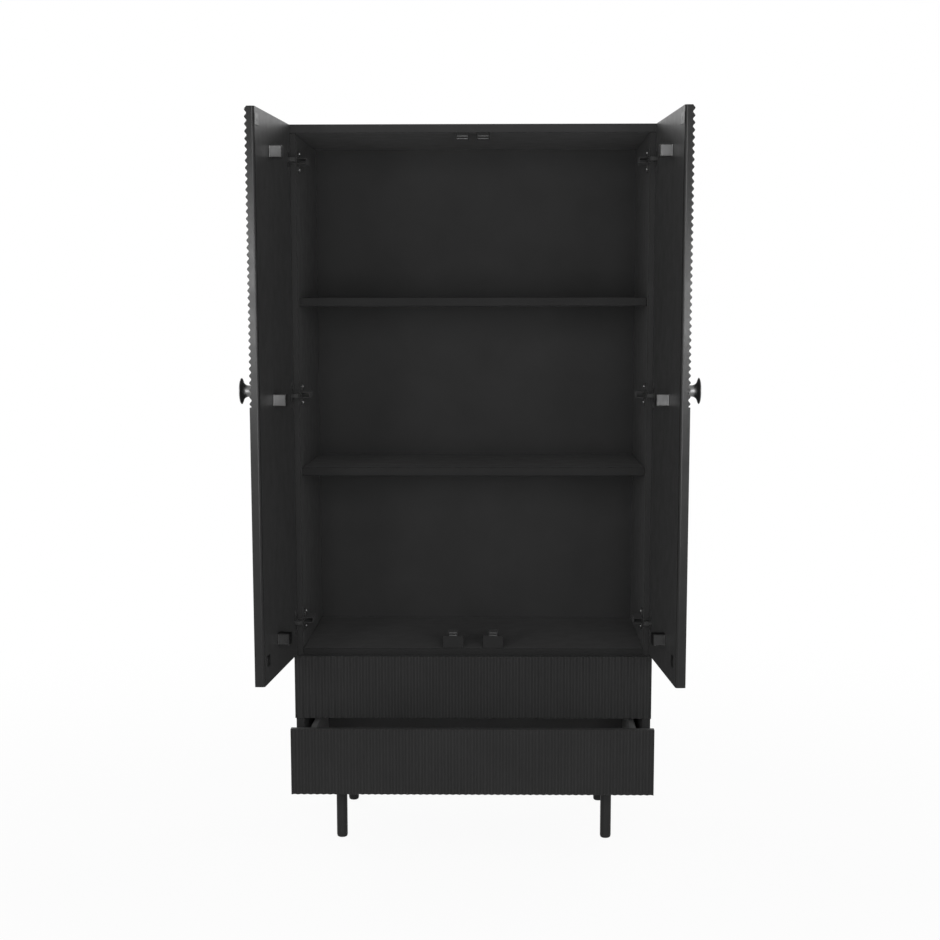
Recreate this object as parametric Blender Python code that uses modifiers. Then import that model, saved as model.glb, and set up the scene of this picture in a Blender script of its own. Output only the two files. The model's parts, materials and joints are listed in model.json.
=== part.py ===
"""Tall storage cabinet with two ribbed doors, two ribbed drawers, two shelves and four turned legs.

Metres, +Z up. The front faces -Y. The origin is on the floor, under the centre of the cabinet as
it stands here: both doors swung open and the lower drawer pulled out a little. Pieces hang from
empties: one for the carcass, one on each door's hinge axis and one for each drawer.
"""
import math

import bmesh
import bpy
from mathutils import Matrix, Vector

# Whole cabinet
WIDTH = 0.800
HEIGHT = 1.600
DEPTH = 0.480
LEG_HEIGHT = 0.149
BOARD = 0.018
EDGE_EASE = 0.0008
FIT = 0.0003

# Back panel, slid into grooves
BACK_THICKNESS = 0.005
BACK_INSET = 0.017
GROOVE_DEPTH = 0.006

# Fixed boards inside
FLOOR_TOP = 0.4555
SHELF_TOPS = (0.859, 1.2325)
SHELF_SETBACK = 0.035

# Ribbed fronts
FRONT_THICKNESS = 0.0205
RIB_HEIGHT = 0.0042
UPRIGHT_RIB_HEIGHT = 0.0039
RIB_PITCH = 0.01396
UPRIGHT_RIB_PITCH = 0.0142
RIB_STEPS = 6
CUT_MARGIN = 0.010
FRONT_GAP = 0.0025
REVEAL = 0.003

# Doors
DOOR_BOTTOM = 0.4435
DOOR_TOP_REVEAL = 0.001
RIB_TURN = 1.013
DOOR_OPEN = math.radians(93.7)
AXIS_INBOARD = 0.001
AXIS_DEPTH = 0.005

# Knobs
KNOB_HEIGHT = 1.0445
KNOB_INSET = 0.035
KNOB_RADIUS = 0.026
KNOB_STEM_RADIUS = 0.0115
KNOB_REACH = 0.0236

# Cup hinges
HINGE_END_INSET = 0.075
CUP_EDGE_INSET = 0.0205
CUP_RADIUS = 0.0175
CUP_WALL = 0.0012
CUP_DEPTH = 0.0120
CUP_LIP = 0.0020
CUP_LIP_THICKNESS = 0.0010
CUP_WING_REACH = 0.031
CUP_WING_RADIUS = 0.0085
ARM_WEB_THICKNESS = 0.0012
ARM_RISE = 0.0222
ARM_WIDTH = 0.0120
ARM_LENGTH = 0.072
ARM_STANDOFF = 0.0030
NOSE_DEPTH = 0.0098
NOSE_ARC = 0.0080
NOSE_THICKNESS = 0.0060
PLATE_SETBACK = 0.028
PLATE_LENGTH = 0.024
PLATE_HEIGHT = 0.049
PLATE_WING_RADIUS = 0.0075
KNUCKLE_THICKNESS = 0.008

# Stop blocks on the doors' inner faces
BLOCK_FROM_EDGE = 0.1485
BLOCK_LENGTH = 0.030
BLOCK_OUT = 0.026
BLOCK_HEIGHT = 0.024
BLOCK_EASE = 0.0012
BLOCK_HOLE_RADIUS = 0.0045
BLOCK_HOLE_DEPTH = 0.008

# Catches and their strike plates
STRIKE_THICKNESS = 0.0012
STRIKE_HEIGHT = 0.022
TOP_CATCH_X = 0.0225
TOP_CATCH_WIDTH = 0.027
TOP_CATCH_HEIGHT = 0.014
CATCH_DEPTH = 0.024
TOP_STRIKE_LENGTH = 0.040
LOW_CATCH_X = 0.045
LOW_CATCH_BASE_WIDTH = 0.046
LOW_CATCH_BASE_HEIGHT = 0.028
LOW_CATCH_SETBACK = 0.001
LOW_CATCH_HEAD_WIDTH = 0.021
LOW_CATCH_HEAD_HEIGHT = 0.015
LOW_STRIKE_LENGTH = 0.030
POLE_THICKNESS = 0.0016
POLE_SPACING = 0.0056
POLE_EDGE = 0.0015
POLE_PROUD = 0.0010
POLE_SHORTER = 0.004

# Drawers: fronts listed from the bottom one up
DRAWER_FRONTS = (0.1475, 0.1410)
DRAWER_PULL = (0.105, 0.0)
DRAWER_LENGTH = 0.440
DRAWER_SIDE_THICKNESS = 0.012
DRAWER_SIDE_HEIGHT = 0.095
DRAWER_BOTTOM_THICKNESS = 0.004
DRAWER_BOTTOM_RISE = 0.010
DRAWER_GROOVE = 0.005

# Telescopic runners
RUNNER_SPACE = 0.013
RUNNER_LENGTH = 0.400
RUNNER_HEIGHT = 0.045
RUNNER_SETBACK = 0.003
RUNNER_FLANGE = 0.0095
RUNNER_GAUGE = 0.0012
RUNNER_RUNNING_GAP = 0.0004

# Legs
LEG_RADIUS = 0.0125
LEG_TOE_RADIUS = 0.0085
LEG_TOE_HEIGHT = 0.006
LEG_FLANGE_RADIUS = 0.028
LEG_FLANGE_THICKNESS = 0.003
LEG_INSET_X = 0.095
LEG_SETBACK_FRONT = 0.071
LEG_SETBACK_BACK = 0.057

# Places that follow from the sizes above
DOOR_WIDTH = WIDTH / 2 - REVEAL / 2
DOOR_TOP = HEIGHT - DOOR_TOP_REVEAL
SWING = (DOOR_WIDTH - AXIS_INBOARD) * math.sin(DOOR_OPEN) + AXIS_DEPTH * (1 - math.cos(DOOR_OPEN)) + FRONT_GAP
FRONT_Y = (SWING - DEPTH) / 2
INNER_WIDTH = WIDTH - 2 * BOARD
BACK_FACE = DEPTH - BACK_INSET - BACK_THICKNESS
AXIS_X = WIDTH / 2 - AXIS_INBOARD
SIDE_FACE = BOARD - AXIS_INBOARD
HINGE_HEIGHTS = {
    "top": DOOR_TOP - HINGE_END_INSET,
    "middle": (DOOR_TOP + DOOR_BOTTOM) / 2,
    "bottom": DOOR_BOTTOM + HINGE_END_INSET,
}
SIDES = {"left": -1, "right": 1}

PARTS = "storage_cabinet"
CUTTERS = "cutters"


def clear_scene():
    for item in list(bpy.data.objects):
        bpy.data.objects.remove(item, do_unlink=True)


def collection(name):
    found = bpy.data.collections.get(name)
    if found is None:
        found = bpy.data.collections.new(name)
        bpy.context.scene.collection.children.link(found)
    return found


def material(name, colour, roughness, metallic=0.0):
    made = bpy.data.materials.new(name)
    made.use_nodes = True
    shader = made.node_tree.nodes["Principled BSDF"]
    shader.inputs["Base Color"].default_value = (*colour, 1.0)
    shader.inputs["Roughness"].default_value = roughness
    shader.inputs["Metallic"].default_value = metallic
    made.diffuse_color = (*colour, 1.0)
    return made


def empty(name, location, parent=None, turn=0.0):
    made = bpy.data.objects.new(name, None)
    made.empty_display_size = 0.05
    made.location = location
    made.rotation_euler = (0.0, 0.0, turn)
    made.parent = parent
    collection(PARTS).objects.link(made)
    return made


def from_bmesh(name, shape):
    bmesh.ops.recalc_face_normals(shape, faces=shape.faces)
    mesh = bpy.data.meshes.new(name)
    shape.to_mesh(mesh)
    shape.free()
    made = bpy.data.objects.new(name, mesh)
    collection(PARTS).objects.link(made)
    return made


def box(name, low, high):
    """A box between two corners, given in the frame of its parent to be."""
    low, high = Vector(low), Vector(high)
    shape = bmesh.new()
    bmesh.ops.create_cube(shape, size=1.0)
    bmesh.ops.scale(shape, vec=high - low, verts=shape.verts)
    bmesh.ops.translate(shape, vec=(low + high) / 2, verts=shape.verts)
    return from_bmesh(name, shape)


def eased(board, width=EDGE_EASE, segments=1):
    """Eases a board's edges, by less where the board is thin."""
    step = board.modifiers.new("Ease", "BEVEL")
    step.width = min(width, min(board.dimensions) / 4)
    step.segments = segments
    step.limit_method = "NONE"
    return board


def cylinder(name, radius, depth, centre, axis, segments):
    turn = Vector((0, 0, 1)).rotation_difference(Vector(axis)).to_matrix().to_4x4()
    shape = bmesh.new()
    bmesh.ops.create_cone(shape, cap_ends=True, segments=segments, radius1=radius, radius2=radius,
                          depth=depth, matrix=Matrix.Translation(centre) @ turn)
    return from_bmesh(name, shape)


def baked(holder, name, weld):
    """Turns an object with modifiers, or a curve, into one plain mesh object, with its seams welded if need be."""
    bpy.context.view_layer.update()
    graph = bpy.context.evaluated_depsgraph_get()
    mesh = bpy.data.meshes.new_from_object(holder.evaluated_get(graph), depsgraph=graph)
    mesh.name = name
    shape = bmesh.new()
    shape.from_mesh(mesh)
    if weld:
        bmesh.ops.remove_doubles(shape, verts=shape.verts, dist=0.00001)
    bmesh.ops.recalc_face_normals(shape, faces=shape.faces)
    shape.to_mesh(mesh)
    shape.free()
    made = bpy.data.objects.new(name, mesh)
    made.matrix_world = holder.matrix_world
    bpy.data.objects.remove(holder, do_unlink=True)
    made.name = name
    collection(PARTS).objects.link(made)
    return made


def prism(name, outline, low, high, axis):
    """A flat outline pushed through from low to high along X, Y or Z.

    The outline's points are (Y, Z) for X, (X, Z) for Y and (X, Y) for Z.
    """
    curve = bpy.data.curves.new(name, "CURVE")
    curve.dimensions = "2D"
    curve.fill_mode = "BOTH"
    curve.extrude = (high - low) / 2
    spline = curve.splines.new("POLY")
    spline.points.add(len(outline) - 1)
    for point, (across, along) in zip(spline.points, outline):
        point.co = (across, along, 0.0, 1.0)
    spline.use_cyclic_u = True
    holder = bpy.data.objects.new(name, curve)
    collection(PARTS).objects.link(holder)
    made = baked(holder, name, weld=True)
    for vertex in made.data.vertices:
        across, along, side = vertex.co
        end = high if side > 0 else low
        vertex.co = {"X": (end, across, along), "Y": (across, end, along), "Z": (across, along, end)}[axis]
    shape = bmesh.new()
    shape.from_mesh(made.data)
    bmesh.ops.recalc_face_normals(shape, faces=shape.faces)
    shape.to_mesh(made.data)
    shape.free()
    return made


def turned(name, profile, steps, centre, axis):
    """A profile of (radius, height) points, run down its outer side, turned about an axis."""
    mesh = bpy.data.meshes.new(name)
    points = [(radius, 0.0, height) for radius, height in profile]
    mesh.from_pydata(points, [(i, i + 1) for i in range(len(points) - 1)], [])
    holder = bpy.data.objects.new(name, mesh)
    collection(PARTS).objects.link(holder)
    screw = holder.modifiers.new("Turn", "SCREW")
    screw.axis = "Z"
    screw.steps = screw.render_steps = steps
    screw.use_merge_vertices = True
    screw.merge_threshold = 0.00001
    made = baked(holder, name, weld=True)
    turn = Vector((0, 0, 1)).rotation_difference(Vector(axis)).to_matrix().to_4x4()
    made.data.transform(Matrix.Translation(centre) @ turn)
    made.data.shade_smooth()
    made.data.set_sharp_from_angle(angle=math.radians(35))
    return made


def combine(target, tools, operation):
    """Joins tools to a piece, or cuts them from it, in one step, while all stand in the same frame."""
    name = target.name
    for tool in tools:
        for group in list(tool.users_collection):
            group.objects.unlink(tool)
        collection(CUTTERS).objects.link(tool)
        tool.hide_render = True
        tool.display_type = "WIRE"
    step = target.modifiers.new(operation.title(), "BOOLEAN")
    step.operation = operation
    step.solver = "EXACT"
    step.operand_type = "COLLECTION"
    step.collection = collection(CUTTERS)
    made = baked(target, name, weld=False)
    for tool in tools:
        bpy.data.objects.remove(tool, do_unlink=True)
    return made


def mirrored(piece):
    """Turns a piece made for the left side into the right side's, about X = 0."""
    shape = bmesh.new()
    shape.from_mesh(piece.data)
    bmesh.ops.scale(shape, vec=(-1, 1, 1), verts=shape.verts)
    bmesh.ops.reverse_faces(shape, faces=shape.faces)
    shape.to_mesh(piece.data)
    shape.free()
    return piece


def place(piece, parent, finish, side=-1):
    if side > 0:
        mirrored(piece)
    piece.parent = parent
    piece.data.materials.clear()
    piece.data.materials.append(finish)
    return piece


def ribbed_edge(start, end, ribs, height, crest_first):
    """Points from start to end along a board's ribbed face: a row of rounded ribs."""
    turn = 1 if crest_first else -1
    points = []
    for step in range(ribs * RIB_STEPS + 1):
        drop = (1 - turn * math.cos(2 * math.pi * step / RIB_STEPS)) / 2
        along = start + (end - start) * step / (ribs * RIB_STEPS)
        points.append((along, height * drop - FRONT_THICKNESS))
    return points


def build_carcass(frame, finishes):
    black, board = finishes["front"], finishes["inside"]
    half = WIDTH / 2
    low, high = LEG_HEIGHT, HEIGHT
    groove_low, groove_high = BACK_FACE - FIT, BACK_FACE + BACK_THICKNESS + FIT
    reach = INNER_WIDTH / 2 + GROOVE_DEPTH

    def groove(name, z_low, z_high, x_reach):
        return box(name, (-x_reach, groove_low, z_low), (x_reach, groove_high, z_high))

    top = eased(box("top_panel", (-half, 0, high - BOARD), (half, DEPTH, high)))
    top = combine(top, [groove("groove", high - BOARD - 0.01, high - BOARD + GROOVE_DEPTH, reach)], "DIFFERENCE")
    place(top, frame, black)
    base = eased(box("base_panel", (-half, 0, low), (half, DEPTH, low + BOARD)))
    base = combine(base, [groove("groove", low + BOARD - GROOVE_DEPTH, low + BOARD + 0.01, reach)], "DIFFERENCE")
    place(base, frame, black)
    for word, side in SIDES.items():
        outer, inner = side * half, side * (half - BOARD)
        upright = eased(box(f"side_{word}", (min(outer, inner), 0, low + BOARD + FIT),
                            (max(outer, inner), DEPTH, high - BOARD - FIT)))
        upright = combine(upright, [groove("groove", low, high, reach)], "DIFFERENCE")
        place(upright, frame, black)
    place(eased(box("floor_panel", (-INNER_WIDTH / 2 + FIT, 0, FLOOR_TOP - BOARD),
                    (INNER_WIDTH / 2 - FIT, BACK_FACE - FIT, FLOOR_TOP))), frame, board)
    place(box("back_panel", (-reach + FIT, BACK_FACE, low + BOARD - GROOVE_DEPTH + FIT),
              (reach - FIT, BACK_FACE + BACK_THICKNESS, high - BOARD + GROOVE_DEPTH - FIT)), frame, board)
    for word, shelf_top in zip(("lower", "upper"), SHELF_TOPS):
        place(eased(box(f"shelf_{word}", (-INNER_WIDTH / 2 + FIT, SHELF_SETBACK, shelf_top - BOARD),
                        (INNER_WIDTH / 2 - FIT, BACK_FACE - FIT, shelf_top))), frame, board)


def build_legs(frame, finish):
    top = LEG_HEIGHT - FIT
    profile = [
        (0, top), (LEG_FLANGE_RADIUS, top), (LEG_FLANGE_RADIUS, top - LEG_FLANGE_THICKNESS),
        (LEG_RADIUS, top - LEG_FLANGE_THICKNESS), (LEG_RADIUS, LEG_TOE_HEIGHT),
        ((LEG_RADIUS + LEG_TOE_RADIUS) / 2 + 0.0008, LEG_TOE_HEIGHT * 0.28), (LEG_TOE_RADIUS, 0), (0, 0),
    ]
    rows = {"front": LEG_SETBACK_FRONT, "back": DEPTH - LEG_SETBACK_BACK}
    for row, y in rows.items():
        for word, side in SIDES.items():
            x = side * (WIDTH / 2 - LEG_INSET_X)
            place(turned(f"leg_{row}_{word}", profile, 20, (x, y, 0), (0, 0, 1)), frame, finish)


def rib_cutter(name, wave, low, high, axis):
    """The air in front of a row of ribs: it follows the wave and reaches from low to high along the ribs."""
    air = -FRONT_THICKNESS - 2 * CUT_MARGIN
    outline = [(wave[0][0], air)] + wave + [(wave[-1][0], air)]
    if axis == "X":
        outline = [(y, z) for z, y in outline]
    return prism(name, outline, low, high, axis)


def door_panel(name):
    """A left door, closed, in the frame of its leaf: +X from the axis to the free edge, the inner face at Y = 0.

    The ribs are cut from a thicker slab, whose inner edges are eased. Both rows run on past the slab's edges.
    """
    hinge_edge, free_edge = -AXIS_INBOARD, DOOR_WIDTH - AXIS_INBOARD
    panel = eased(box(name, (hinge_edge, -FRONT_THICKNESS - CUT_MARGIN, DOOR_BOTTOM), (free_edge, 0, DOOR_TOP)))
    ribs = math.floor((DOOR_TOP - RIB_TURN) / RIB_PITCH) + 2
    wave = ribbed_edge(RIB_TURN, RIB_TURN + ribs * RIB_PITCH, ribs, RIB_HEIGHT, False)
    level = rib_cutter("level_ribs", wave, hinge_edge - CUT_MARGIN, free_edge + CUT_MARGIN, "X")
    ribs = math.floor(DOOR_WIDTH / UPRIGHT_RIB_PITCH) + 2
    middle, reach = (hinge_edge + free_edge) / 2, ribs * UPRIGHT_RIB_PITCH / 2
    wave = ribbed_edge(middle - reach, middle + reach, ribs, UPRIGHT_RIB_HEIGHT, True)
    upright = rib_cutter("upright_ribs", wave, DOOR_BOTTOM - CUT_MARGIN, RIB_TURN + FIT, "Z")
    panel = combine(panel, [level, upright], "DIFFERENCE")
    depth = CUP_DEPTH + FIT
    bores = [
        cylinder("bore", CUP_RADIUS + FIT, 2 * depth, (CUP_EDGE_INSET - AXIS_INBOARD, 0, z), (0, 1, 0), 24)
        for z in HINGE_HEIGHTS.values()
    ]
    return combine(panel, bores, "DIFFERENCE")


def rounded_bar(centre, reach, radius, core=0.0, steps=8):
    """The outline of an upright bar with round ends, swollen into a disc of radius core at its middle."""
    run = reach - radius
    points = []
    for step in range(8 * steps):
        angle = 2 * math.pi * step / (8 * steps)
        across, along = math.cos(angle), math.sin(angle)
        bar = run * abs(along) + math.sqrt(max(radius ** 2 - (run * across) ** 2, 0.0))
        if abs(across) * bar > radius or bar * abs(along) < run:
            bar = radius / abs(across)
        distance = max(bar, core)
        points.append((centre[0] + distance * across, centre[1] + distance * along))
    return points


def knob(name):
    foot = -(FRONT_THICKNESS + FIT)
    profile = [
        (0, KNOB_REACH), (KNOB_RADIUS * 0.8, KNOB_REACH - 0.0005), (KNOB_RADIUS, KNOB_REACH - 0.0018),
        (KNOB_RADIUS, KNOB_REACH - 0.0034), (KNOB_RADIUS * 0.72, KNOB_REACH - 0.0070),
        (KNOB_STEM_RADIUS, KNOB_REACH - 0.0098), (KNOB_STEM_RADIUS, 0.0040),
        (KNOB_STEM_RADIUS + 0.0022, 0), (0, 0),
    ]
    centre = (DOOR_WIDTH - AXIS_INBOARD - KNOB_INSET, foot, KNOB_HEIGHT)
    return turned(name, profile, 28, centre, (0, -1, 0))


def hinge_cup(name, z):
    """The cup in the door, its winged flange, and the knuckle that dips into the arm when the door shuts."""
    centre = CUP_EDGE_INSET - AXIS_INBOARD
    lip = CUP_RADIUS + CUP_LIP
    bore = CUP_RADIUS - CUP_WALL
    low, top = FIT + CUP_LIP_THICKNESS / 5, FIT + CUP_LIP_THICKNESS
    profile = [(0, CUP_WALL - CUP_DEPTH), (bore, CUP_WALL - CUP_DEPTH), (bore, top), (lip, top), (lip, low),
               (CUP_RADIUS, low), (CUP_RADIUS, -CUP_DEPTH), (0, -CUP_DEPTH)]
    cup = turned(name, profile, 24, (centre, 0, z), (0, 1, 0))
    wings = prism("wings", rounded_bar((centre, z), CUP_WING_REACH, CUP_WING_RADIUS), FIT,
                  top - CUP_LIP_THICKNESS / 5, "Y")
    mouth = cylinder("mouth", CUP_RADIUS + CUP_LIP / 2, 2 * CUT_MARGIN, (centre, 0, z), (0, 1, 0), 24)
    wings = combine(wings, [mouth], "DIFFERENCE")
    floor = CUP_WALL / 2 - CUP_DEPTH
    near, far = SIDE_FACE + 0.002, SIDE_FACE + 0.014
    outline = [(near + 0.001, floor), (far, floor), (far, 0.006), (far - 0.003, 0.015), (near + 0.003, 0.018),
               (near, 0.014), (near, 0.004)]
    knuckle = prism("knuckle", outline, z - KNUCKLE_THICKNESS / 2, z + KNUCKLE_THICKNESS / 2, "Z")
    return combine(cup, [wings, knuckle], "UNION")


def hinge_arm(name, z):
    """A channel on a mounting plate. Its two-pronged nose hooks round the side panel's front edge into the cup.

    The hook's inner edge is an arc about the door's axis, so the cup's rim swings past it and rests near it.
    """
    front = FRONT_GAP + ARM_WEB_THICKNESS
    root, web = SIDE_FACE + ARM_STANDOFF, SIDE_FACE + ARM_RISE
    back = front + ARM_LENGTH
    start = -math.asin((NOSE_DEPTH - AXIS_DEPTH) / NOSE_ARC)
    arc = [
        (NOSE_ARC * math.cos(start * share), NOSE_ARC * math.sin(start * share) - AXIS_DEPTH)
        for share in (0.15, 0.43, 0.71, 1.0)
    ]
    heel = root + NOSE_THICKNESS
    outline = [(root, back), (root, front + ARM_STANDOFF), (SIDE_FACE + ARM_WEB_THICKNESS, 0),
               ((SIDE_FACE + NOSE_ARC) / 2, -AXIS_DEPTH)]
    outline += arc
    outline += [(SIDE_FACE - ARM_STANDOFF, -NOSE_DEPTH), (root, -NOSE_DEPTH / 2), (heel, front),
                (web, front + NOSE_THICKNESS), (web, back)]
    arm = prism(name, outline, z - ARM_WIDTH / 2, z + ARM_WIDTH / 2, "Z")
    inside = ARM_WIDTH / 2 - ARM_WEB_THICKNESS
    slot = box("slot", (0, -NOSE_DEPTH - CUT_MARGIN, z - inside),
               (web - ARM_WEB_THICKNESS, back + CUT_MARGIN, z + inside))
    arm = combine(arm, [slot], "DIFFERENCE")
    middle = FRONT_GAP + PLATE_SETBACK + PLATE_LENGTH / 2
    wings = rounded_bar((middle, z), PLATE_HEIGHT / 2, PLATE_WING_RADIUS, PLATE_LENGTH / 2, 4)
    plate = prism("plate", wings, SIDE_FACE + FIT, root + ARM_WEB_THICKNESS / 2, "X")
    return combine(arm, [plate], "UNION")


def stop_block(name, z):
    face = DOOR_WIDTH - AXIS_INBOARD - BLOCK_FROM_EDGE
    block = eased(box(name, (face - BLOCK_LENGTH, FIT, z - BLOCK_HEIGHT / 2),
                      (face, FIT + BLOCK_OUT, z + BLOCK_HEIGHT / 2)), BLOCK_EASE, 2)
    hole = cylinder("hole", BLOCK_HOLE_RADIUS, 2 * BLOCK_HOLE_DEPTH, (face, FIT + BLOCK_OUT / 2, z), (1, 0, 0), 12)
    return combine(block, [hole], "DIFFERENCE")


def top_catch_z():
    return HEIGHT - BOARD - FIT - TOP_CATCH_HEIGHT / 2


def low_catch_z():
    return FLOOR_TOP + FIT + LOW_CATCH_BASE_HEIGHT + LOW_CATCH_HEAD_HEIGHT / 2


def strike(name, catch_x, z, length):
    centre = AXIS_X - catch_x
    return box(name, (centre - length / 2, FIT, z - STRIKE_HEIGHT / 2),
               (centre + length / 2, FIT + STRIKE_THICKNESS, z + STRIKE_HEIGHT / 2))


def catch_front():
    """The catches' poles stop just short of the strike plates on the shut doors."""
    return -FRONT_GAP + FIT + STRIKE_THICKNESS + FIT


def with_poles(body, x, low, width):
    """Adds a magnet's two pole plates, which stand out of the body's front, the lower one near its foot."""
    front = catch_front()
    reach = (width - POLE_SHORTER) / 2
    poles = [
        box("pole", (x - reach, front, z - POLE_THICKNESS / 2),
            (x + reach, front + CATCH_DEPTH / 2, z + POLE_THICKNESS / 2))
        for z in (low + POLE_EDGE, low + POLE_EDGE + POLE_SPACING)
    ]
    return combine(body, poles, "UNION")


def build_catches(frame, finishes):
    front, back = catch_front() + POLE_PROUD, catch_front() + CATCH_DEPTH
    for word, side in SIDES.items():
        x, z = side * TOP_CATCH_X, top_catch_z()
        low = z - TOP_CATCH_HEIGHT / 2
        body = eased(box(f"catch_top_{word}", (x - TOP_CATCH_WIDTH / 2, front, low),
                         (x + TOP_CATCH_WIDTH / 2, back, z + TOP_CATCH_HEIGHT / 2)))
        place(with_poles(body, x, low, TOP_CATCH_WIDTH), frame, finishes["catch"])
        x, z = side * LOW_CATCH_X, low_catch_z()
        low, shoulder = FLOOR_TOP + FIT, z - LOW_CATCH_HEAD_HEIGHT / 2
        body = eased(box(f"catch_bottom_{word}", (x - LOW_CATCH_BASE_WIDTH / 2, front + LOW_CATCH_SETBACK, low),
                         (x + LOW_CATCH_BASE_WIDTH / 2, back, shoulder)))
        head = box("head", (x - LOW_CATCH_HEAD_WIDTH / 2, front, shoulder - POLE_THICKNESS),
                   (x + LOW_CATCH_HEAD_WIDTH / 2, back - LOW_CATCH_SETBACK, z + LOW_CATCH_HEAD_HEIGHT / 2))
        body = combine(body, [head], "UNION")
        place(with_poles(body, x, shoulder + POLE_EDGE, LOW_CATCH_HEAD_WIDTH), frame, finishes["catch"])


def build_doors(frame, finishes):
    for word, side in SIDES.items():
        pivot = empty(f"door_{word}_axis", (side * AXIS_X, -FRONT_GAP - AXIS_DEPTH, 0), frame, turn=side * DOOR_OPEN)
        leaf = empty(f"door_{word}_leaf", (0, AXIS_DEPTH, 0), pivot)
        hinge_side = empty(f"hinge_{word}_side", (side * AXIS_X, -FRONT_GAP, 0), frame)
        place(door_panel(f"door_{word}"), leaf, finishes["front"], side)
        place(knob(f"knob_{word}"), leaf, finishes["dark_metal"], side)
        for level, z in HINGE_HEIGHTS.items():
            place(hinge_cup(f"hinge_cup_{word}_{level}", z), leaf, finishes["dark_metal"], side)
            place(stop_block(f"block_{word}_{level}", z), leaf, finishes["steel"], side)
            place(hinge_arm(f"hinge_arm_{word}_{level}", z), hinge_side, finishes["dark_metal"], side)
        place(strike(f"strike_top_{word}", TOP_CATCH_X, top_catch_z(), TOP_STRIKE_LENGTH),
              leaf, finishes["steel"], side)
        place(strike(f"strike_bottom_{word}", LOW_CATCH_X, low_catch_z(), LOW_STRIKE_LENGTH),
              leaf, finishes["steel"], side)


def runner_channel(name, near, far, half_height, z, start):
    """A C channel along Y: its web at near, its flanges reaching to far."""
    turn = 1 if far > near else -1
    gauge = turn * RUNNER_GAUGE
    outline = [
        (near, z - half_height), (far, z - half_height), (far, z - half_height + RUNNER_GAUGE),
        (near + gauge, z - half_height + RUNNER_GAUGE), (near + gauge, z + half_height - RUNNER_GAUGE),
        (far, z + half_height - RUNNER_GAUGE), (far, z + half_height), (near, z + half_height),
    ]
    return prism(name, outline, start, start + RUNNER_LENGTH, "Y")


def drawer_front(name, height):
    """A drawer's front in the frame of its carriage: the inner face at Y = 0, a crest at both ends."""
    half = WIDTH / 2
    ribs = round(WIDTH / UPRIGHT_RIB_PITCH)
    pitch = WIDTH / ribs
    panel = eased(box(name, (-half, -FRONT_THICKNESS - CUT_MARGIN, -height / 2), (half, 0, height / 2)))
    wave = ribbed_edge(-half - pitch, half + pitch, ribs + 2, UPRIGHT_RIB_HEIGHT, True)
    cutter = rib_cutter("upright_ribs", wave, -height / 2 - CUT_MARGIN, height / 2 + CUT_MARGIN, "Z")
    return combine(panel, [cutter], "DIFFERENCE")


def build_drawer(word, frame, finishes, front_low, front_height, pull):
    """One drawer box on its runners. The carriage empty sits on the front board's inner face."""
    middle = front_low + front_height / 2
    carriage = empty(f"drawer_{word}_carriage", (0, -FRONT_GAP - pull, middle), frame)
    place(drawer_front(f"drawer_{word}_front", front_height), carriage, finishes["front"])

    box_half = INNER_WIDTH / 2 - RUNNER_SPACE
    inner = box_half - DRAWER_SIDE_THICKNESS
    low, high = -DRAWER_SIDE_HEIGHT / 2, DRAWER_SIDE_HEIGHT / 2
    sheet_low = low + DRAWER_BOTTOM_RISE
    sheet_high = sheet_low + DRAWER_BOTTOM_THICKNESS
    sheet_reach = inner + DRAWER_GROOVE
    for name, side in SIDES.items():
        a, b = side * inner, side * box_half
        board = box(f"drawer_{word}_side_{name}", (min(a, b), FIT, low), (max(a, b), DRAWER_LENGTH, high))
        groove = box("groove", (-sheet_reach, -0.01, sheet_low - FIT),
                     (sheet_reach, DRAWER_LENGTH + 0.01, sheet_high + FIT))
        place(combine(board, [groove], "DIFFERENCE"), carriage, finishes["inside"])
    place(box(f"drawer_{word}_back", (-inner + FIT, DRAWER_LENGTH - DRAWER_SIDE_THICKNESS, sheet_high + FIT),
              (inner - FIT, DRAWER_LENGTH, high)), carriage, finishes["inside"])
    place(box(f"drawer_{word}_bottom", (-sheet_reach + FIT, FIT, sheet_low),
              (sheet_reach - FIT, DRAWER_LENGTH, sheet_high)), carriage, finishes["inside"])

    wall = INNER_WIDTH / 2 - FIT
    outer_half = RUNNER_HEIGHT / 2
    inner_half = outer_half - RUNNER_GAUGE - RUNNER_RUNNING_GAP
    for name, side in SIDES.items():
        fixed = runner_channel(f"runner_{word}_{name}", side * wall, side * (wall - RUNNER_FLANGE),
                               outer_half, middle, RUNNER_SETBACK)
        place(fixed, frame, finishes["runner"])
        near = side * (box_half + FIT)
        moving = runner_channel(f"drawer_{word}_rail_{name}", near,
                                side * (wall - RUNNER_GAUGE - 0.001), inner_half, 0.0,
                                RUNNER_SETBACK + FRONT_GAP)
        place(moving, carriage, finishes["runner"])


def build_drawers(frame, finishes):
    low = LEG_HEIGHT
    for word, height, pull in zip(("lower", "upper"), DRAWER_FRONTS, DRAWER_PULL):
        build_drawer(word, frame, finishes, low, height, pull)
        low += height + REVEAL


def main():
    clear_scene()
    finishes = {
        "front": material("satin_black", (0.022, 0.022, 0.023), 0.42),
        "inside": material("black_board", (0.020, 0.020, 0.021), 0.55),
        "dark_metal": material("dark_metal", (0.035, 0.035, 0.037), 0.25, 0.9),
        "steel": material("plated_steel", (0.42, 0.42, 0.43), 0.35, 0.8),
        "catch": material("black_plastic", (0.025, 0.025, 0.026), 0.40),
        "runner": material("zinc_runner", (0.30, 0.30, 0.31), 0.40, 0.8),
    }
    frame = empty("carcass_frame", (0, FRONT_Y, 0))
    build_carcass(frame, finishes)
    build_legs(frame, finishes["front"])
    build_catches(frame, finishes)
    build_doors(frame, finishes)
    build_drawers(frame, finishes)


main()
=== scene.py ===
"""The looks of the storage cabinet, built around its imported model. Metres, +Z up, the front faces -Y."""

import json
import math

import bmesh
import bpy
from mathutils import Matrix, Vector


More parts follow.
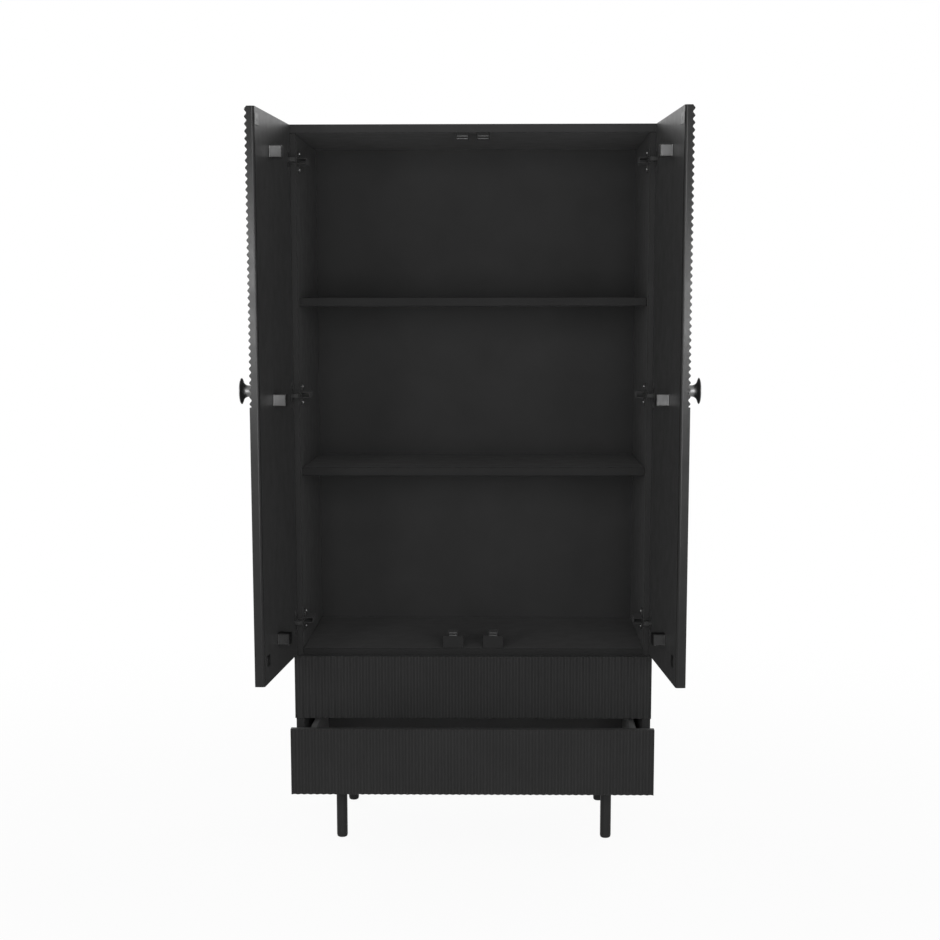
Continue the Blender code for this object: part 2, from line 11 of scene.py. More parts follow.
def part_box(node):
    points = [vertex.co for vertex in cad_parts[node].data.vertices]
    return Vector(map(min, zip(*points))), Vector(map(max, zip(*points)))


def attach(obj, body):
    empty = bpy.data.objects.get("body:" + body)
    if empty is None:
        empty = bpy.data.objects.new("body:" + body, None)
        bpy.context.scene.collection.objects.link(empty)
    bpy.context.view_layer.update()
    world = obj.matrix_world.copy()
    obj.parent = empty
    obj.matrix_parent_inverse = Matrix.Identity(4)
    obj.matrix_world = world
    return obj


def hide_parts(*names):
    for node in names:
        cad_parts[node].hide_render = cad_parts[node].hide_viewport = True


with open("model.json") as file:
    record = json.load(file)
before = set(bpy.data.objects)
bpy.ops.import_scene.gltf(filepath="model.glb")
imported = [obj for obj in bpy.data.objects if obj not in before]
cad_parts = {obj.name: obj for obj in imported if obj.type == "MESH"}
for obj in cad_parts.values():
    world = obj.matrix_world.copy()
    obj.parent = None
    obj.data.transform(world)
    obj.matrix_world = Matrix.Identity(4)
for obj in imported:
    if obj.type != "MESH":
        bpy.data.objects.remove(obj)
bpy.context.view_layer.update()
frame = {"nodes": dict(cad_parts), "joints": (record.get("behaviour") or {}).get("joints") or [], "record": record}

# The photograph's camera, fitted to the carcass, shelves, doors and drawers. Its lengths are in pixels.
PHOTO_SIZE = 940
FOCAL = 1953.3
CENTRE_V = 639.56
CAMERA_AT = (0.07077, -4.36283, 1.20236)
PITCH = 0.16643
ROLL = -0.00115
YAW = -0.01794
SENSOR = 36.0

# The studio. FLOOR_GLOW is how much of its own white the floor shows to the camera near the cabinet.
WHITE = (1, 1, 1, 1)
WORLD_LIGHT = 0.28
FLOOR_SIZE = 30.0
FLOOR_TONE = 0.92
FLOOR_GLOW, FLOOR_NEAR, FLOOR_FAR = 0.94, 1.0, 3.0
STUDIO_AIM = (0, 0, 0.9)

# Soft lamps: name, place, width and height, and power in watts
LAMPS = [
    ("front", (0.07, -4.7, 1.3), (1.8, 1.8), 104),
    ("low", (0.0, -5.0, 0.45), (4.0, 0.8), 15),
    ("strip_left", (-1.46, -4.3, 1.28), (0.45, 0.68), 24.5),
    ("strip_right", (1.32, -4.3, 1.20), (0.45, 0.42), 19),
    ("left", (-3.5, -3.0, 1.6), (2.0, 2.4), 20),
    ("right", (3.5, -3.0, 1.6), (2.0, 2.4), 20),
    ("back_left", (-2.6, 3.6, 1.8), (2.0, 2.0), 60),
    ("back_right", (2.6, 3.6, 1.8), (2.0, 2.0), 60),
]

# Ribbed fronts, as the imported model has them, in finer steps. Level ribs begin at the height RIB_TURN.
FRONT_THICKNESS = 0.0205
RIB_HEIGHT = 0.0042
UPRIGHT_RIB_HEIGHT = 0.0039
RIB_PITCH = 0.01396
UPRIGHT_RIB_PITCH = 0.0142
RIB_TURN = 1.013
RIB_STEPS = 14
RIB_OVERLAP = 0.0003

# Doors. Places are in the shut left door's own frame, with its inner face at Y = 0.
SIDES = {"left": -1, "right": 1}
AXIS_X = 0.399
AXIS_INBOARD = 0.001
AXIS_DEPTH = 0.005
DOOR_REVEAL = 0.0015
DOOR_EDGE_ROUND = 0.0060
DOOR_EDGE_STEPS = 6
EDGE_FACING = 0.3

# Knobs: how far their points lie inside the rim or outside the stem, and how far behind the face
KNOB_HEIGHT = 1.0445
KNOB_INSET = 0.035
KNOB_RADIUS = 0.026
KNOB_STEM_RADIUS = 0.0115
KNOB_REACH = 0.0226
KNOB_SEAT = 0.0003
KNOB_RIM = [
    (0.0006, 0), (0, 0.0006), (0, 0.0014), (0.0018, 0.0024), (0.0056, 0.0037), (0.0092, 0.0053),
]
KNOB_NECK = [(0.0028, 0.0075), (0.0010, 0.0104), (0, 0.0140)]
KNOB_FOOT_HEIGHT, KNOB_FOOT_FLARE = 0.0012, 0.0006

# Hinges
HINGE_LEVELS = ("top", "middle", "bottom")
CUP_CENTRE = 0.0195
CUP_RADIUS = 0.0178
CUP_DEPTH = 0.0123
CUP_FLANGE = 0.0011
CUP_SCREW_SPACING = 0.0235
CUP_SCREW_PROUD = 0.0006
PLATE_FACE = 0.0206
PLATE_FROM_NOSE = 0.0523
PLATE_SCREW_SPACING = 0.017

# Screws. The heads' profiles and their slots are in shares of the radius and the height.
SCREW_RADIUS = 0.0040
SCREW_HEIGHT = 0.0024
PAN_CROWN = [(0.45, 1), (0.8, 0.8)]
FLAT_CROWN = [(0.96, 1)]
CROWN_SHOULDER = 0.4
SLOT_REACH, SLOT_HALF_WIDTH, SLOT_FLOOR, SLOT_TOP = 0.7, 0.13, 0.45, 2

# Blocks and catches
BLOCK_RIM = 0.0026
BLOCK_RECESS = 0.0016
POLE_REACH = {"top": 0.0115, "bottom": 0.0085}
POLE_THICKNESS = 0.0016
POLE_SPACING = 0.0056
POLE_EDGE = 0.0015
POLE_DEPTH = 0.0030
LOW_BASE_HEIGHT = 0.028

# Meshes. SKIN is how far a thin cover stands proud of what it covers.
SKIN = 0.0001
CUT_MARGIN = 0.01
BOARD_EASE, BOARD_EASE_ANGLE = 0.0005, 40
BLOCK_EASE = 0.0007
PLATE_EASE = 0.0003
EASE_ANGLE = 50
SMOOTH_ANGLE = 35
FLAT_ANGLE = 40
FLAT_WEIGHT = 100
ROUND_SEGMENTS, BORE_SEGMENTS, SCREW_SEGMENTS = 64, 48, 32

# Textures: each noise's scale and detail, its reach in tone and roughness, and the bump's depth
CLOUD, GLOSS, PEEL, FINE_PEEL = (7.0, 4.0), (26.0, 3.0), (900.0, 2.0), (2600.0, 2.0)
METAL_CLOUD, STREAKS = (40.0, 3.0), (300.0, 4.0)
NOISE_ROUGHNESS = 0.55
NOISE_LOW, NOISE_HIGH = 0.3, 0.7
TONE_SPREAD = 0.07
GLOSS_SPREAD = 0.03
STREAK_SMOOTHER, STREAK_ROUGHER = 0.06, 0.08
FINE_PEEL_SHARE = 0.4
PEEL_DEPTH = 0.00002
STREAK_DEPTH = 0.00002
SHEEN_ROUGHNESS = 0.5

# Lacquers, paints and plastic: name, tone, roughness, specular level and sheen
PAINTS = {
    "satin_black": ("satin_black_lacquer", 0.0218, 0.42, 0.04, 0.024),
    "door_lacquer": ("satin_black_door", 0.0223, 0.36, 0.09, 0.022),
    "side_board": ("satin_black_side", 0.0205, 0.42, 0.03, 0.040),
    "top_board": ("satin_black_top", 0.0218, 0.42, 0.04, 0.049),
    "edge_lacquer": ("glossy_edge_lacquer", 0.0120, 0.20, 0.14, 0.0),
    "black_board": ("matt_black_board", 0.0160, 0.45, 0.02, 0.042),
    "floor_board": ("matt_black_floor", 0.0155, 0.45, 0.02, 0.054),
    # The back panel is painted lighter than the other boards, which is painted light in the shade at the back of
    # the cabinet
    "back_board_painted_light": ("matt_black_back_painted_light", 0.0296, 0.50, 0.02, 0.0),
    # The drawer boxes' boards are painted a lighter grey, which is painted light in the deep shade of the gap
    # between the drawers
    "drawer_board_painted_light": ("grey_drawer_box_painted_light", 0.0800, 0.50, 0.05, 0.15),
    "leg_paint": ("leg_powder_coat", 0.0225, 0.40, 0.05, 0.0),
    "black_plastic": ("black_plastic", 0.0165, 0.45, 0.02, 0.035),
    "dark_metal": ("blackened_steel", 0.0270, 0.42, 0.05, 0.035),
}

# Bare metals: name, darkest tone, palest tone, roughness, and how the streaks are stretched
UPRIGHT_STREAKS, LONG_STREAKS = (1, 1, 0.1), (1, 0.05, 1)
METALS = {
    "knob_metal": ("polished_dark_metal", 0.16, 0.21, 0.42, UPRIGHT_STREAKS),
    "plated_steel": ("dull_plated_steel", 0.066, 0.088, 0.45, UPRIGHT_STREAKS),
    "screw_steel": ("bright_screw_steel", 0.17, 0.22, 0.40, UPRIGHT_STREAKS),
    "pole_steel": ("pole_plate_steel", 0.040, 0.060, 0.50, UPRIGHT_STREAKS),
    # A darker copy of the plated steel, which is painted shade for the blocks and strikes low on the doors
    "painted_shade_steel": ("plated_steel_with_painted_shade", 0.020, 0.030, 0.45, UPRIGHT_STREAKS),
    "zinc": ("zinc_sheet", 0.20, 0.28, 0.42, LONG_STREAKS),
}

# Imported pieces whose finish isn't their slot's own
OWN_FINISH = {
    "top_panel": "top_board",
    # The back panel's lighter tone is painted light
    "back_panel": "back_board_painted_light",
    "side_left": "side_board",
    "side_right": "side_board",
    "floor_panel": "floor_board",
    # The low strikes take the steel with painted shade
    "strike_bottom_left": "painted_shade_steel",
    "strike_bottom_right": "painted_shade_steel",
}
# The drawer boxes take the lighter grey, which is painted light
OWN_FINISH.update({
    f"drawer_{word}_{board}": "drawer_board_painted_light"
    for word in ("lower", "upper") for board in ("side_left", "side_right", "back", "bottom")
})


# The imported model


def node(name):
    return frame["nodes"][name]


def joint(name):
    return next(j for j in frame["joints"] if j["name"] == name)


def node_middle(name):
    low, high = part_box(name)
    return (low + high) / 2


# Materials


def math_node(nodes, links, operation, first, second):
    made = nodes.new("ShaderNodeMath")
    made.operation = operation
    for socket, value in zip(made.inputs, (first, second)):
        if isinstance(value, (int, float)):
            socket.default_value = value
        else:
            links.new(value, socket)
    return made.outputs["Value"]


class Surface:
    """A Principled material with a few helpers for the nodes that feed it."""

    def __init__(self, name, **values):
        self.material = bpy.data.materials.new(name)
        self.material.use_nodes = True
        self.nodes = self.material.node_tree.nodes
        self.links = self.material.node_tree.links
        self.shader = self.nodes["Principled BSDF"]
        for socket, value in values.items():
            self.shader.inputs[socket.replace("_", " ")].default_value = value
        self.place = self.nodes.new("ShaderNodeTexCoord").outputs["Object"]

    def noise(self, scale, detail, stretch=(1, 1, 1)):
        mapping = self.nodes.new("ShaderNodeMapping")
        mapping.inputs["Scale"].default_value = stretch
        self.links.new(self.place, mapping.inputs["Vector"])
        made = self.nodes.new("ShaderNodeTexNoise")
        made.inputs["Scale"].default_value = scale
        made.inputs["Detail"].default_value = detail
        made.inputs["Roughness"].default_value = NOISE_ROUGHNESS
        self.links.new(mapping.outputs["Vector"], made.inputs["Vector"])
        return made.outputs["Fac"]

    def spread(self, noise, low, high):
        """Stretches a noise's usual span to the span from low to high."""
        made = self.nodes.new("ShaderNodeMapRange")
        made.inputs["From Min"].default_value = NOISE_LOW
        made.inputs["From Max"].default_value = NOISE_HIGH
        made.inputs["To Min"].default_value = low
        made.inputs["To Max"].default_value = high
        self.links.new(noise, made.inputs["Value"])
        return made.outputs["Result"]

    def math(self, operation, first, second):
        return math_node(self.nodes, self.links, operation, first, second)

    def tint(self, share, dark, pale):
        """A neutral colour between two tones."""
        made = self.nodes.new("ShaderNodeMix")
        made.data_type = "RGBA"
        self.links.new(share, made.inputs["Factor"])
        made.inputs["A"].default_value = (dark, dark, dark, 1)
        made.inputs["B"].default_value = (pale, pale, pale, 1)
        self.links.new(made.outputs["Result"], self.shader.inputs["Base Color"])

    def rough(self, value):
        self.links.new(value, self.shader.inputs["Roughness"])

    def bump(self, height, distance):
        made = self.nodes.new("ShaderNodeBump")
        made.inputs["Distance"].default_value = distance
        made.inputs["Strength"].default_value = 1.0
        self.links.new(height, made.inputs["Height"])
        self.links.new(made.outputs["Normal"], self.shader.inputs["Normal"])


def painted(name, tone, roughness, specular, sheen):
    """A coat with a faint orange peel, slow changes of tone and gloss, and a little grazing sheen."""
    surface = Surface(
        name, Specular_IOR_Level=specular, Sheen_Weight=sheen, Sheen_Roughness=SHEEN_ROUGHNESS
    )
    cloud = surface.noise(*CLOUD)
    surface.tint(surface.spread(cloud, 0, 1), tone * (1 - TONE_SPREAD), tone * (1 + TONE_SPREAD))
    gloss = surface.noise(*GLOSS)
    surface.rough(surface.spread(gloss, roughness - GLOSS_SPREAD, roughness + GLOSS_SPREAD))
    peel = surface.noise(*PEEL)
    fine = surface.math("MULTIPLY", surface.noise(*FINE_PEEL), FINE_PEEL_SHARE)
    surface.bump(surface.math("ADD", peel, fine), PEEL_DEPTH)
    return surface.material


def metal(name, dark, pale, roughness, stretch):
    """Bare or plated metal with fine streaks in its gloss."""
    surface = Surface(name, Metallic=1.0)
    streaks = surface.noise(*STREAKS, stretch)
    surface.tint(surface.spread(surface.noise(*METAL_CLOUD), 0, 1), dark, pale)
    surface.rough(surface.spread(streaks, roughness - STREAK_SMOOTHER, roughness + STREAK_ROUGHER))
    surface.bump(streaks, STREAK_DEPTH)
    return surface.material


FINISHES = {slot: painted(*values) for slot, values in PAINTS.items()}
FINISHES.update({slot: metal(*values) for slot, values in METALS.items()})


def dress(piece, slot):
    piece.data.materials.clear()
    piece.data.materials.append(FINISHES[slot])
    return piece


# Mesh helpers


def linked(name, data):
    made = bpy.data.objects.new(name, data)
    bpy.context.scene.collection.objects.link(made)
    return made


def from_bmesh(name, shape):
    bmesh.ops.recalc_face_normals(shape, faces=shape.faces)
    mesh = bpy.data.meshes.new(name)
    shape.to_mesh(mesh)
    shape.free()
    mesh.shade_smooth()
    mesh.set_sharp_from_angle(angle=math.radians(SMOOTH_ANGLE))
    return linked(name, mesh)


def prism(name, outline, low, high, axis):
    """A closed outline of (Y, Z) or (X, Y) points, pushed from low to high along X or Z."""
    shape = bmesh.new()
    ends = []
    for level in (low, high):
        points = [(level, a, b) if axis == "X" else (a, b, level) for a, b in outline]
        ends.append([shape.verts.new(point) for point in points])
    count = len(outline)
    for i in range(count):
        j = (i + 1) % count
        shape.faces.new((ends[0][i], ends[0][j], ends[1][j], ends[1][i]))
    shape.faces.new(ends[0])
    shape.faces.new(ends[1])
    return from_bmesh(name, shape)


def box_shape(low, high):
    low, high = Vector(low), Vector(high)
    shape = bmesh.new()
    bmesh.ops.create_cube(shape, size=1.0)
    bmesh.ops.scale(shape, vec=high - low, verts=shape.verts)
    bmesh.ops.translate(shape, vec=(low + high) / 2, verts=shape.verts)
    return shape


def box(name, low, high):
    return from_bmesh(name, box_shape(low, high))


def cylinder(name, radius, depth, centre, axis):
    turn = Vector((0, 0, 1)).rotation_difference(Vector(axis)).to_matrix().to_4x4()
    shape = bmesh.new()
    bmesh.ops.create_cone(shape, cap_ends=True, segments=BORE_SEGMENTS, radius1=radius, radius2=radius,
                          depth=depth, matrix=Matrix.Translation(centre) @ turn)
    return from_bmesh(name, shape)


def turned(name, profile, segments):
    """A profile of (radius, height) points, turned about Z."""
    shape = bmesh.new()
    turn = 2 * math.pi / segments
    rings = []
    for radius, height in profile:
        count = segments if radius > 0 else 1
        rings.append([
            shape.verts.new((radius * math.cos(turn * i), radius * math.sin(turn * i), height))
            for i in range(count)
        ])
    for first, second in zip(rings, rings[1:]):
        for i in range(segments):
            j = (i + 1) % segments
            places = [(first, i), (first, j), (second, j), (second, i)]
            corners = [ring[place % len(ring)] for ring, place in places]
            shape.faces.new(list(dict.fromkeys(corners)))
    return from_bmesh(name, shape)


def apply_modifiers(piece):
    bpy.context.view_layer.update()
    graph = bpy.context.evaluated_depsgraph_get()
    mesh = bpy.data.meshes.new_from_object(piece.evaluated_get(graph), depsgraph=graph)
    piece.modifiers.clear()
    piece.data = mesh
    return piece


def cut(piece, tools):
    """Takes the tools away from a piece, and then out of the scene."""
    holder = bpy.data.collections.new("cutters")
    for tool in tools:
        holder.objects.link(tool)
    step = piece.modifiers.new("cut", "BOOLEAN")
    step.operation = "DIFFERENCE"
    step.solver = "EXACT"
    step.operand_type = "COLLECTION"
    step.collection = holder
    apply_modifiers(piece)
    for tool in tools:
        bpy.data.objects.remove(tool, do_unlink=True)
    bpy.data.collections.remove(holder)
    return piece


def eased(piece, width, segments=2, angle=EASE_ANGLE):
    """Rounds a piece's sharp edges a little."""
    step = piece.modifiers.new("ease", "BEVEL")
    step.width = width
    step.segments = segments
    step.limit_method = "ANGLE"
    step.angle_limit = math.radians(angle)
    return apply_modifiers(piece)


def flat_faced(piece):
    """Smooth shading that keeps the large faces flat, for a piece in its final place."""
    piece.data.shade_smooth()
    piece.data.set_sharp_from_angle(angle=math.radians(FLAT_ANGLE))
    step = piece.modifiers.new("flat", "WEIGHTED_NORMAL")
    step.keep_sharp = True
    step.weight = FLAT_WEIGHT
    return apply_modifiers(piece)


# Places on the doors


def leaf(word, side):
    """From a shut left door's own frame, its inner face at Y = 0, to where the named door stands."""
    hinge = joint(f"door_{word}_hinge")
    pivot = Vector(hinge["pos_m"])
    swing = Matrix.Rotation(math.radians(-side * hinge["range_deg"][0]), 4, "Z")
    mirror = Matrix.Scale(-side, 4, (1, 0, 0))
    axis = Matrix.Translation((pivot.x, pivot.y, 0))
    return axis @ swing @ Matrix.Translation((0, AXIS_DEPTH, 0)) @ mirror


def hang(piece, word, side, place=Matrix.Identity(4)):
    """Moves a piece that was made at place in a door's frame to the door, and lets it ride there."""
    step = leaf(word, side) @ place
    piece.data.transform(step)
    if step.determinant() < 0:
        piece.data.flip_normals()
    flat_faced(piece)
    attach(piece, f"door_{word}")


def shut_box(name, word, side):
    """The corners of a door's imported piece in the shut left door's own frame."""
    back = leaf(word, side).inverted()
    corners = [back @ vertex.co for vertex in node(name).data.vertices]
    low = Vector(min(corner[axis] for corner in corners) for axis in range(3))
    high = Vector(max(corner[axis] for corner in corners) for axis in range(3))
    return low, high


def door_ends():
    """A shut left door's hinge edge and free edge, from its axis."""
    width = joint("door_right_hinge")["pos_m"][0] + AXIS_INBOARD - DOOR_REVEAL
    return -AXIS_INBOARD, width - AXIS_INBOARD


# Ribbed doors and drawer fronts


def wave(start, end, ribs, height, crest_first):
    """A front's outer face in section, as (place along the row of ribs, Y) points."""
    turn = 1 if crest_first else -1
    steps = ribs * RIB_STEPS
    points = []
    for step in range(steps + 1):
        drop = (1 - turn * math.cos(2 * math.pi * step / RIB_STEPS)) / 2
        points.append((start + (end - start) * step / steps, height * drop - FRONT_THICKNESS))
    return points


def rib_cutter(name, line, low, high, axis):
    """A tool that leaves the ribs of a wave in a door's outer face."""
    air = -FRONT_THICKNESS - 2 * CUT_MARGIN
    outline = [(line[0][0], air)] + line + [(line[-1][0], air)]
    if axis == "X":
        outline = [(y, z) for z, y in outline]
    return prism(name, outline, low, high, axis)


def door_outline(near, far):
    """A shut door from above, with a rounded corner between its inner face and its free edge."""
    outer = -FRONT_THICKNESS - CUT_MARGIN
    turns = [math.pi / 2 * step / DOOR_EDGE_STEPS for step in range(DOOR_EDGE_STEPS + 1)]
    corner = [
        (far - DOOR_EDGE_ROUND * (1 - math.cos(turn)), -DOOR_EDGE_ROUND * (1 - math.sin(turn)))
        for turn in turns
    ]
    return [(near, outer), (far, outer)] + corner + [(near, 0)]


def door(word, side):
    """A board with level ribs above upright ones and a bore for each cup, made shut and then hung."""
    low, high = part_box(f"door_{word}")
    near, far = door_ends()
    piece = prism(f"door_{word}_board", door_outline(near, far), low.z, high.z, "Z")
    ribs = math.floor((high.z - RIB_TURN) / RIB_PITCH) + 2
    level = wave(RIB_TURN, RIB_TURN + ribs * RIB_PITCH, ribs, RIB_HEIGHT, False)
    ribs = math.floor((far - near) / UPRIGHT_RIB_PITCH) + 2
    middle, reach = (near + far) / 2, ribs * UPRIGHT_RIB_PITCH / 2
    upright = wave(middle - reach, middle + reach, ribs, UPRIGHT_RIB_HEIGHT, True)
    cut(piece, [
        rib_cutter("level_cutter", level, near - CUT_MARGIN, far + CUT_MARGIN, "X"),
        rib_cutter("upright_cutter", upright, low.z - CUT_MARGIN, RIB_TURN + RIB_OVERLAP, "Z"),
    ])
    cup_levels = [node_middle(f"hinge_cup_{word}_{name}").z for name in HINGE_LEVELS]
    cut(piece, [
        cylinder("bore", CUP_RADIUS, 2 * CUP_DEPTH, (CUP_CENTRE, 0, z), (0, 1, 0)) for z in cup_levels
    ])
    eased(piece, BOARD_EASE, angle=BOARD_EASE_ANGLE)
    dress(piece, "door_lacquer")
    piece.data.materials.append(FINISHES["edge_lacquer"])
    for face in piece.data.polygons:
        if face.normal.x > EDGE_FACING and face.center.x > far - FRONT_THICKNESS:
            face.material_index = 1
    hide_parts(f"door_{word}")
    hang(piece, word, side)


def drawer_front(word):
    """A board with upright ribs over its whole outer face."""
    low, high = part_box(f"drawer_{word}_front")
    half = high.x
    ribs = round(2 * half / UPRIGHT_RIB_PITCH)
    outline = [(half, 0.0), (-half, 0.0)] + wave(-half, half, ribs, UPRIGHT_RIB_HEIGHT, True)
    piece = prism(f"drawer_{word}_front_board", outline, low.z, high.z, "Z")
    piece.data.transform(Matrix.Translation((0, high.y, 0)))
    flat_faced(eased(piece, BOARD_EASE, angle=BOARD_EASE_ANGLE))
    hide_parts(f"drawer_{word}_front")
    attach(dress(piece, "satin_black"), f"drawer_{word}")


# Fittings


def knob(word, side):
    """A flat-faced disc that flares out of a thick stem."""
    profile = [(0, KNOB_REACH)]
    profile += [(KNOB_RADIUS - inset, KNOB_REACH - depth) for inset, depth in KNOB_RIM]
    profile += [(KNOB_STEM_RADIUS + flare, KNOB_REACH - depth) for flare, depth in KNOB_NECK]
    profile += [(KNOB_STEM_RADIUS, KNOB_FOOT_HEIGHT), (KNOB_STEM_RADIUS + KNOB_FOOT_FLARE, 0), (0, 0)]
    piece = turned(f"knob_{word}_body", profile, ROUND_SEGMENTS)
    near, far = door_ends()
    outward = Matrix.Rotation(math.pi / 2, 4, "X")
    at = (far - KNOB_INSET, -FRONT_THICKNESS - KNOB_SEAT, KNOB_HEIGHT)
    dress(piece, "knob_metal")
    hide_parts(f"knob_{word}")
    hang(piece, word, side, Matrix.Translation(at) @ outward)


def block(word, side, level):
    """A square-ended block with a recessed end face, which keeps a narrow rim."""
    name = f"block_{word}_{level}"
    shape = box_shape(*shut_box(name, word, side))
    end = max(shape.faces, key=lambda face: face.calc_center_median().x)
    bmesh.ops.inset_region(shape, faces=[end], thickness=BLOCK_RIM, depth=0)
    bmesh.ops.translate(shape, vec=(-BLOCK_RECESS, 0, 0), verts=end.verts)
    piece = eased(from_bmesh(f"{name}_body", shape), BLOCK_EASE, 3)
    # The bottom blocks take the darker copy of the steel, which is painted shade
    dress(piece, "painted_shade_steel" if level == "bottom" else "plated_steel")
    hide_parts(name)
    hang(piece, word, side)


def screw(name, crown):
    """A head with a cross slot and its foot at Z = 0."""
    radius, height = SCREW_RADIUS, SCREW_HEIGHT
    shares = [(0, 1)] + crown + [(1, CROWN_SHOULDER), (1, 0), (0, 0)]
    head = turned(name, [(radius * out, height * up) for out, up in shares], SCREW_SEGMENTS)
    arm, half = radius * SLOT_REACH, radius * SLOT_HALF_WIDTH
    floor, top = height * SLOT_FLOOR, height * SLOT_TOP
    return cut(head, [
        box("slot", (-arm, -half, floor), (arm, half, top)),
        box("slot", (-half, -arm, floor), (half, arm, top)),
    ])


def door_screw(name, word, side, x, top, z):
    """A dark flat-headed screw in a door's inner side, over which it rises to the height top."""
    piece = screw(name, FLAT_CROWN)
    dress(piece, "dark_metal")
    outward = Matrix.Rotation(-math.pi / 2, 4, "X")
    hang(piece, word, side, Matrix.Translation((x, top - SCREW_HEIGHT, z)) @ outward)


def hinge_screws(word, side, level):
    """The two screws that hold a hinge arm's plate to its side panel, and the two of its cup."""
    low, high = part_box(f"hinge_arm_{word}_{level}")
    middle = node_middle(f"hinge_arm_{word}_{level}").z
    inward = Matrix.Rotation(-side * math.pi / 2, 4, "Y")
    face, y = side * (AXIS_X - PLATE_FACE), low.y + PLATE_FROM_NOSE
    for sign, end in ((1, "upper"), (-1, "lower")):
        piece = screw(f"plate_screw_{word}_{level}_{end}", PAN_CROWN)
        at = (face, y, middle + sign * PLATE_SCREW_SPACING)
        piece.data.transform(Matrix.Translation(at) @ inward)
        dress(piece, "screw_steel")
        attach(flat_faced(piece), "carcass")
        door_screw(f"cup_screw_{word}_{level}_{end}", word, side,
                   CUP_CENTRE, CUP_FLANGE + CUP_SCREW_PROUD, middle + sign * CUP_SCREW_SPACING)


def strike_screw(word, side, level):
    """The screw in the middle of a strike plate, as good as flush with it."""
    low, high = shut_box(f"strike_{level}_{word}", word, side)
    door_screw(f"strike_screw_{level}_{word}", word, side,
               (low.x + high.x) / 2, high.y + SKIN, (low.z + high.z) / 2)


def poles(word, level):
    """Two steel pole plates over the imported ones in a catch's front."""
    low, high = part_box(f"catch_{level}_{word}")
    middle = (low.x + high.x) / 2
    reach = POLE_REACH[level] + SKIN
    half = POLE_THICKNESS / 2 + SKIN
    first = low.z + POLE_EDGE if level == "top" else low.z + LOW_BASE_HEIGHT + POLE_EDGE
    for number, z in enumerate((first, first + POLE_SPACING), 1):
        piece = box(f"pole_{level}_{word}_{number}", (middle - reach, low.y - SKIN, z - half),
                    (middle + reach, low.y + POLE_DEPTH, z + half))
        dress(eased(piece, PLATE_EASE), "pole_steel")
        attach(flat_faced(piece), "carcass")


# Camera, lights and floor


def photo_camera():
    camera = bpy.data.cameras.new("photo_camera")
    camera.sensor_width = SENSOR
    camera.lens = FOCAL / PHOTO_SIZE * SENSOR
    camera.shift_y = (CENTRE_V - PHOTO_SIZE / 2) / PHOTO_SIZE
    seen = linked("photo_camera", camera)
    tilt = Matrix.Rotation(math.pi / 2 - PITCH, 4, "X") @ Matrix.Rotation(ROLL, 4, "Z")
    seen.matrix_world = Matrix.Translation(CAMERA_AT) @ Matrix.Rotation(-YAW, 4, "Z") @ tilt
    bpy.context.scene.camera = seen


def lamp(name, at, size, power):
    data = bpy.data.lights.new(name, "AREA")
    data.shape = "RECTANGLE"
    data.size, data.size_y = size
    data.energy = power
    made = linked(name, data)
    made.location = at
    made.rotation_euler = (Vector(STUDIO_AIM) - Vector(at)).to_track_quat("-Z", "Y").to_euler()


def mixed(nodes, links, share, first, second, output):
    """Sends a mix of two shaders to the tree's output."""
    mix = nodes.new("ShaderNodeMixShader")
    links.new(share, mix.inputs["Fac"])
    links.new(first, mix.inputs[1])
    links.new(second, mix.inputs[2])
    links.new(mix.outputs["Shader"], nodes[output].inputs["Surface"])


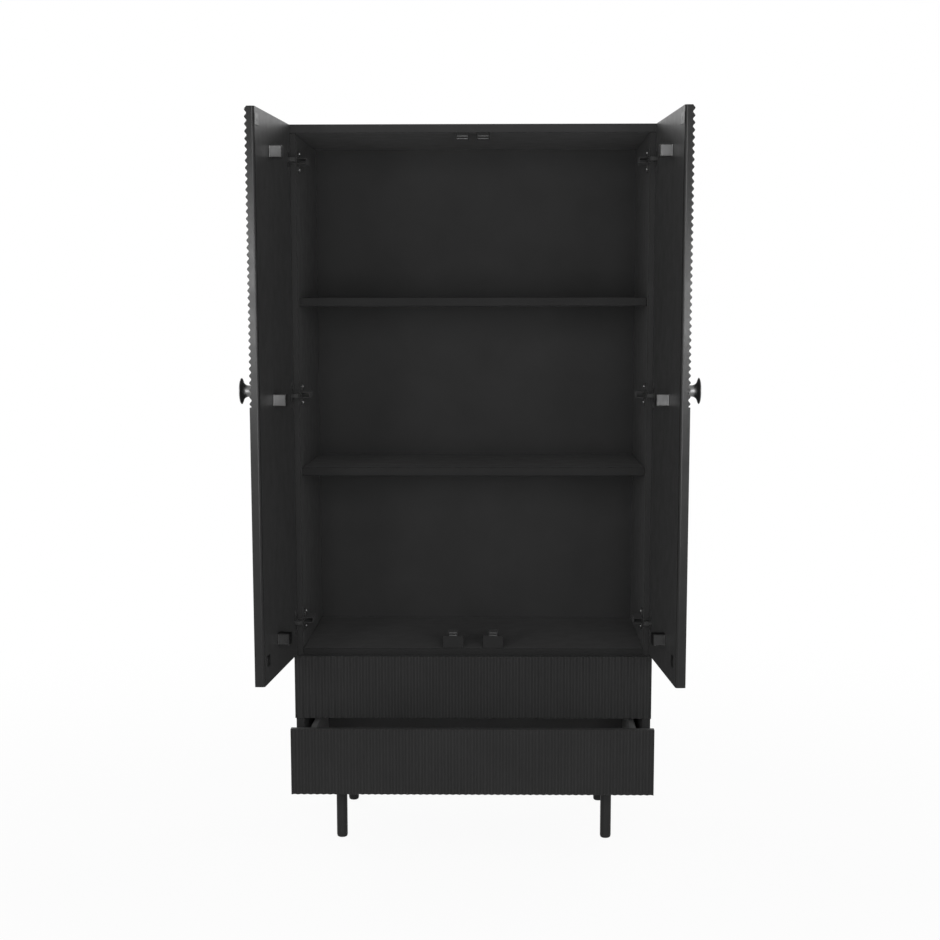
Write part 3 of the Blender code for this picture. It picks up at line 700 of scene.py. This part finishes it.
def white_world():
    """A soft light from all sides, which the camera and mirrors see as white."""
    world = bpy.data.worlds.new("studio")
    bpy.context.scene.world = world
    world.use_nodes = True
    nodes, links = world.node_tree.nodes, world.node_tree.links
    light, white = nodes["Background"], nodes.new("ShaderNodeBackground")
    for background, strength in ((light, WORLD_LIGHT), (white, 1.0)):
        background.inputs["Color"].default_value = WHITE
        background.inputs["Strength"].default_value = strength
    path = nodes.new("ShaderNodeLightPath").outputs
    mirrored = math_node(nodes, links, "MAXIMUM", path["Is Glossy Ray"], path["Is Transmission Ray"])
    shown = math_node(nodes, links, "MAXIMUM", path["Is Camera Ray"], mirrored)
    shaders = light.outputs["Background"], white.outputs["Background"]
    mixed(nodes, links, shown, *shaders, "World Output")


def pale_floor():
    """A pale floor that keeps the cabinet's shadow and fades to the white of the world far away."""
    shape = bmesh.new()
    bmesh.ops.create_grid(shape, x_segments=1, y_segments=1, size=FLOOR_SIZE)
    floor = from_bmesh("floor", shape)
    surface = bpy.data.materials.new("pale_floor")
    surface.use_nodes = True
    nodes, links = surface.node_tree.nodes, surface.node_tree.links
    nodes.remove(nodes["Principled BSDF"])
    matt = nodes.new("ShaderNodeBsdfDiffuse")
    matt.inputs["Color"].default_value = (FLOOR_TONE, FLOOR_TONE, FLOOR_TONE, 1)
    glow = nodes.new("ShaderNodeEmission")
    glow.inputs["Strength"].default_value = 1.0
    path = nodes.new("ShaderNodeLightPath").outputs
    shown = math_node(nodes, links, "MAXIMUM", path["Is Camera Ray"], path["Is Glossy Ray"])
    away = nodes.new("ShaderNodeVectorMath")
    away.operation = "LENGTH"
    links.new(nodes.new("ShaderNodeTexCoord").outputs["Object"], away.inputs[0])
    fade = nodes.new("ShaderNodeMapRange")
    fade.inputs["From Min"].default_value = FLOOR_NEAR
    fade.inputs["From Max"].default_value = FLOOR_FAR
    fade.inputs["To Min"].default_value = FLOOR_GLOW
    fade.inputs["To Max"].default_value = 1.0
    links.new(away.outputs["Value"], fade.inputs["Value"])
    share = math_node(nodes, links, "MULTIPLY", shown, fade.outputs["Result"])
    mixed(nodes, links, share, matt.outputs["BSDF"], glow.outputs["Emission"], "Material Output")
    floor.data.materials.append(surface)


def main():
    photo_camera()
    white_world()
    pale_floor()
    for values in LAMPS:
        lamp(*values)
    for item in frame["record"]["subparts"]:
        dress(node(item["node"]), OWN_FINISH.get(item["node"], item["material_slot"]))
    for word, side in SIDES.items():
        door(word, side)
        knob(word, side)
        for level in HINGE_LEVELS:
            block(word, side, level)
            hinge_screws(word, side, level)
        for level in ("top", "bottom"):
            poles(word, level)
            strike_screw(word, side, level)
    for word in ("lower", "upper"):
        drawer_front(word)
    bpy.context.scene.view_settings.view_transform = "Standard"


main()
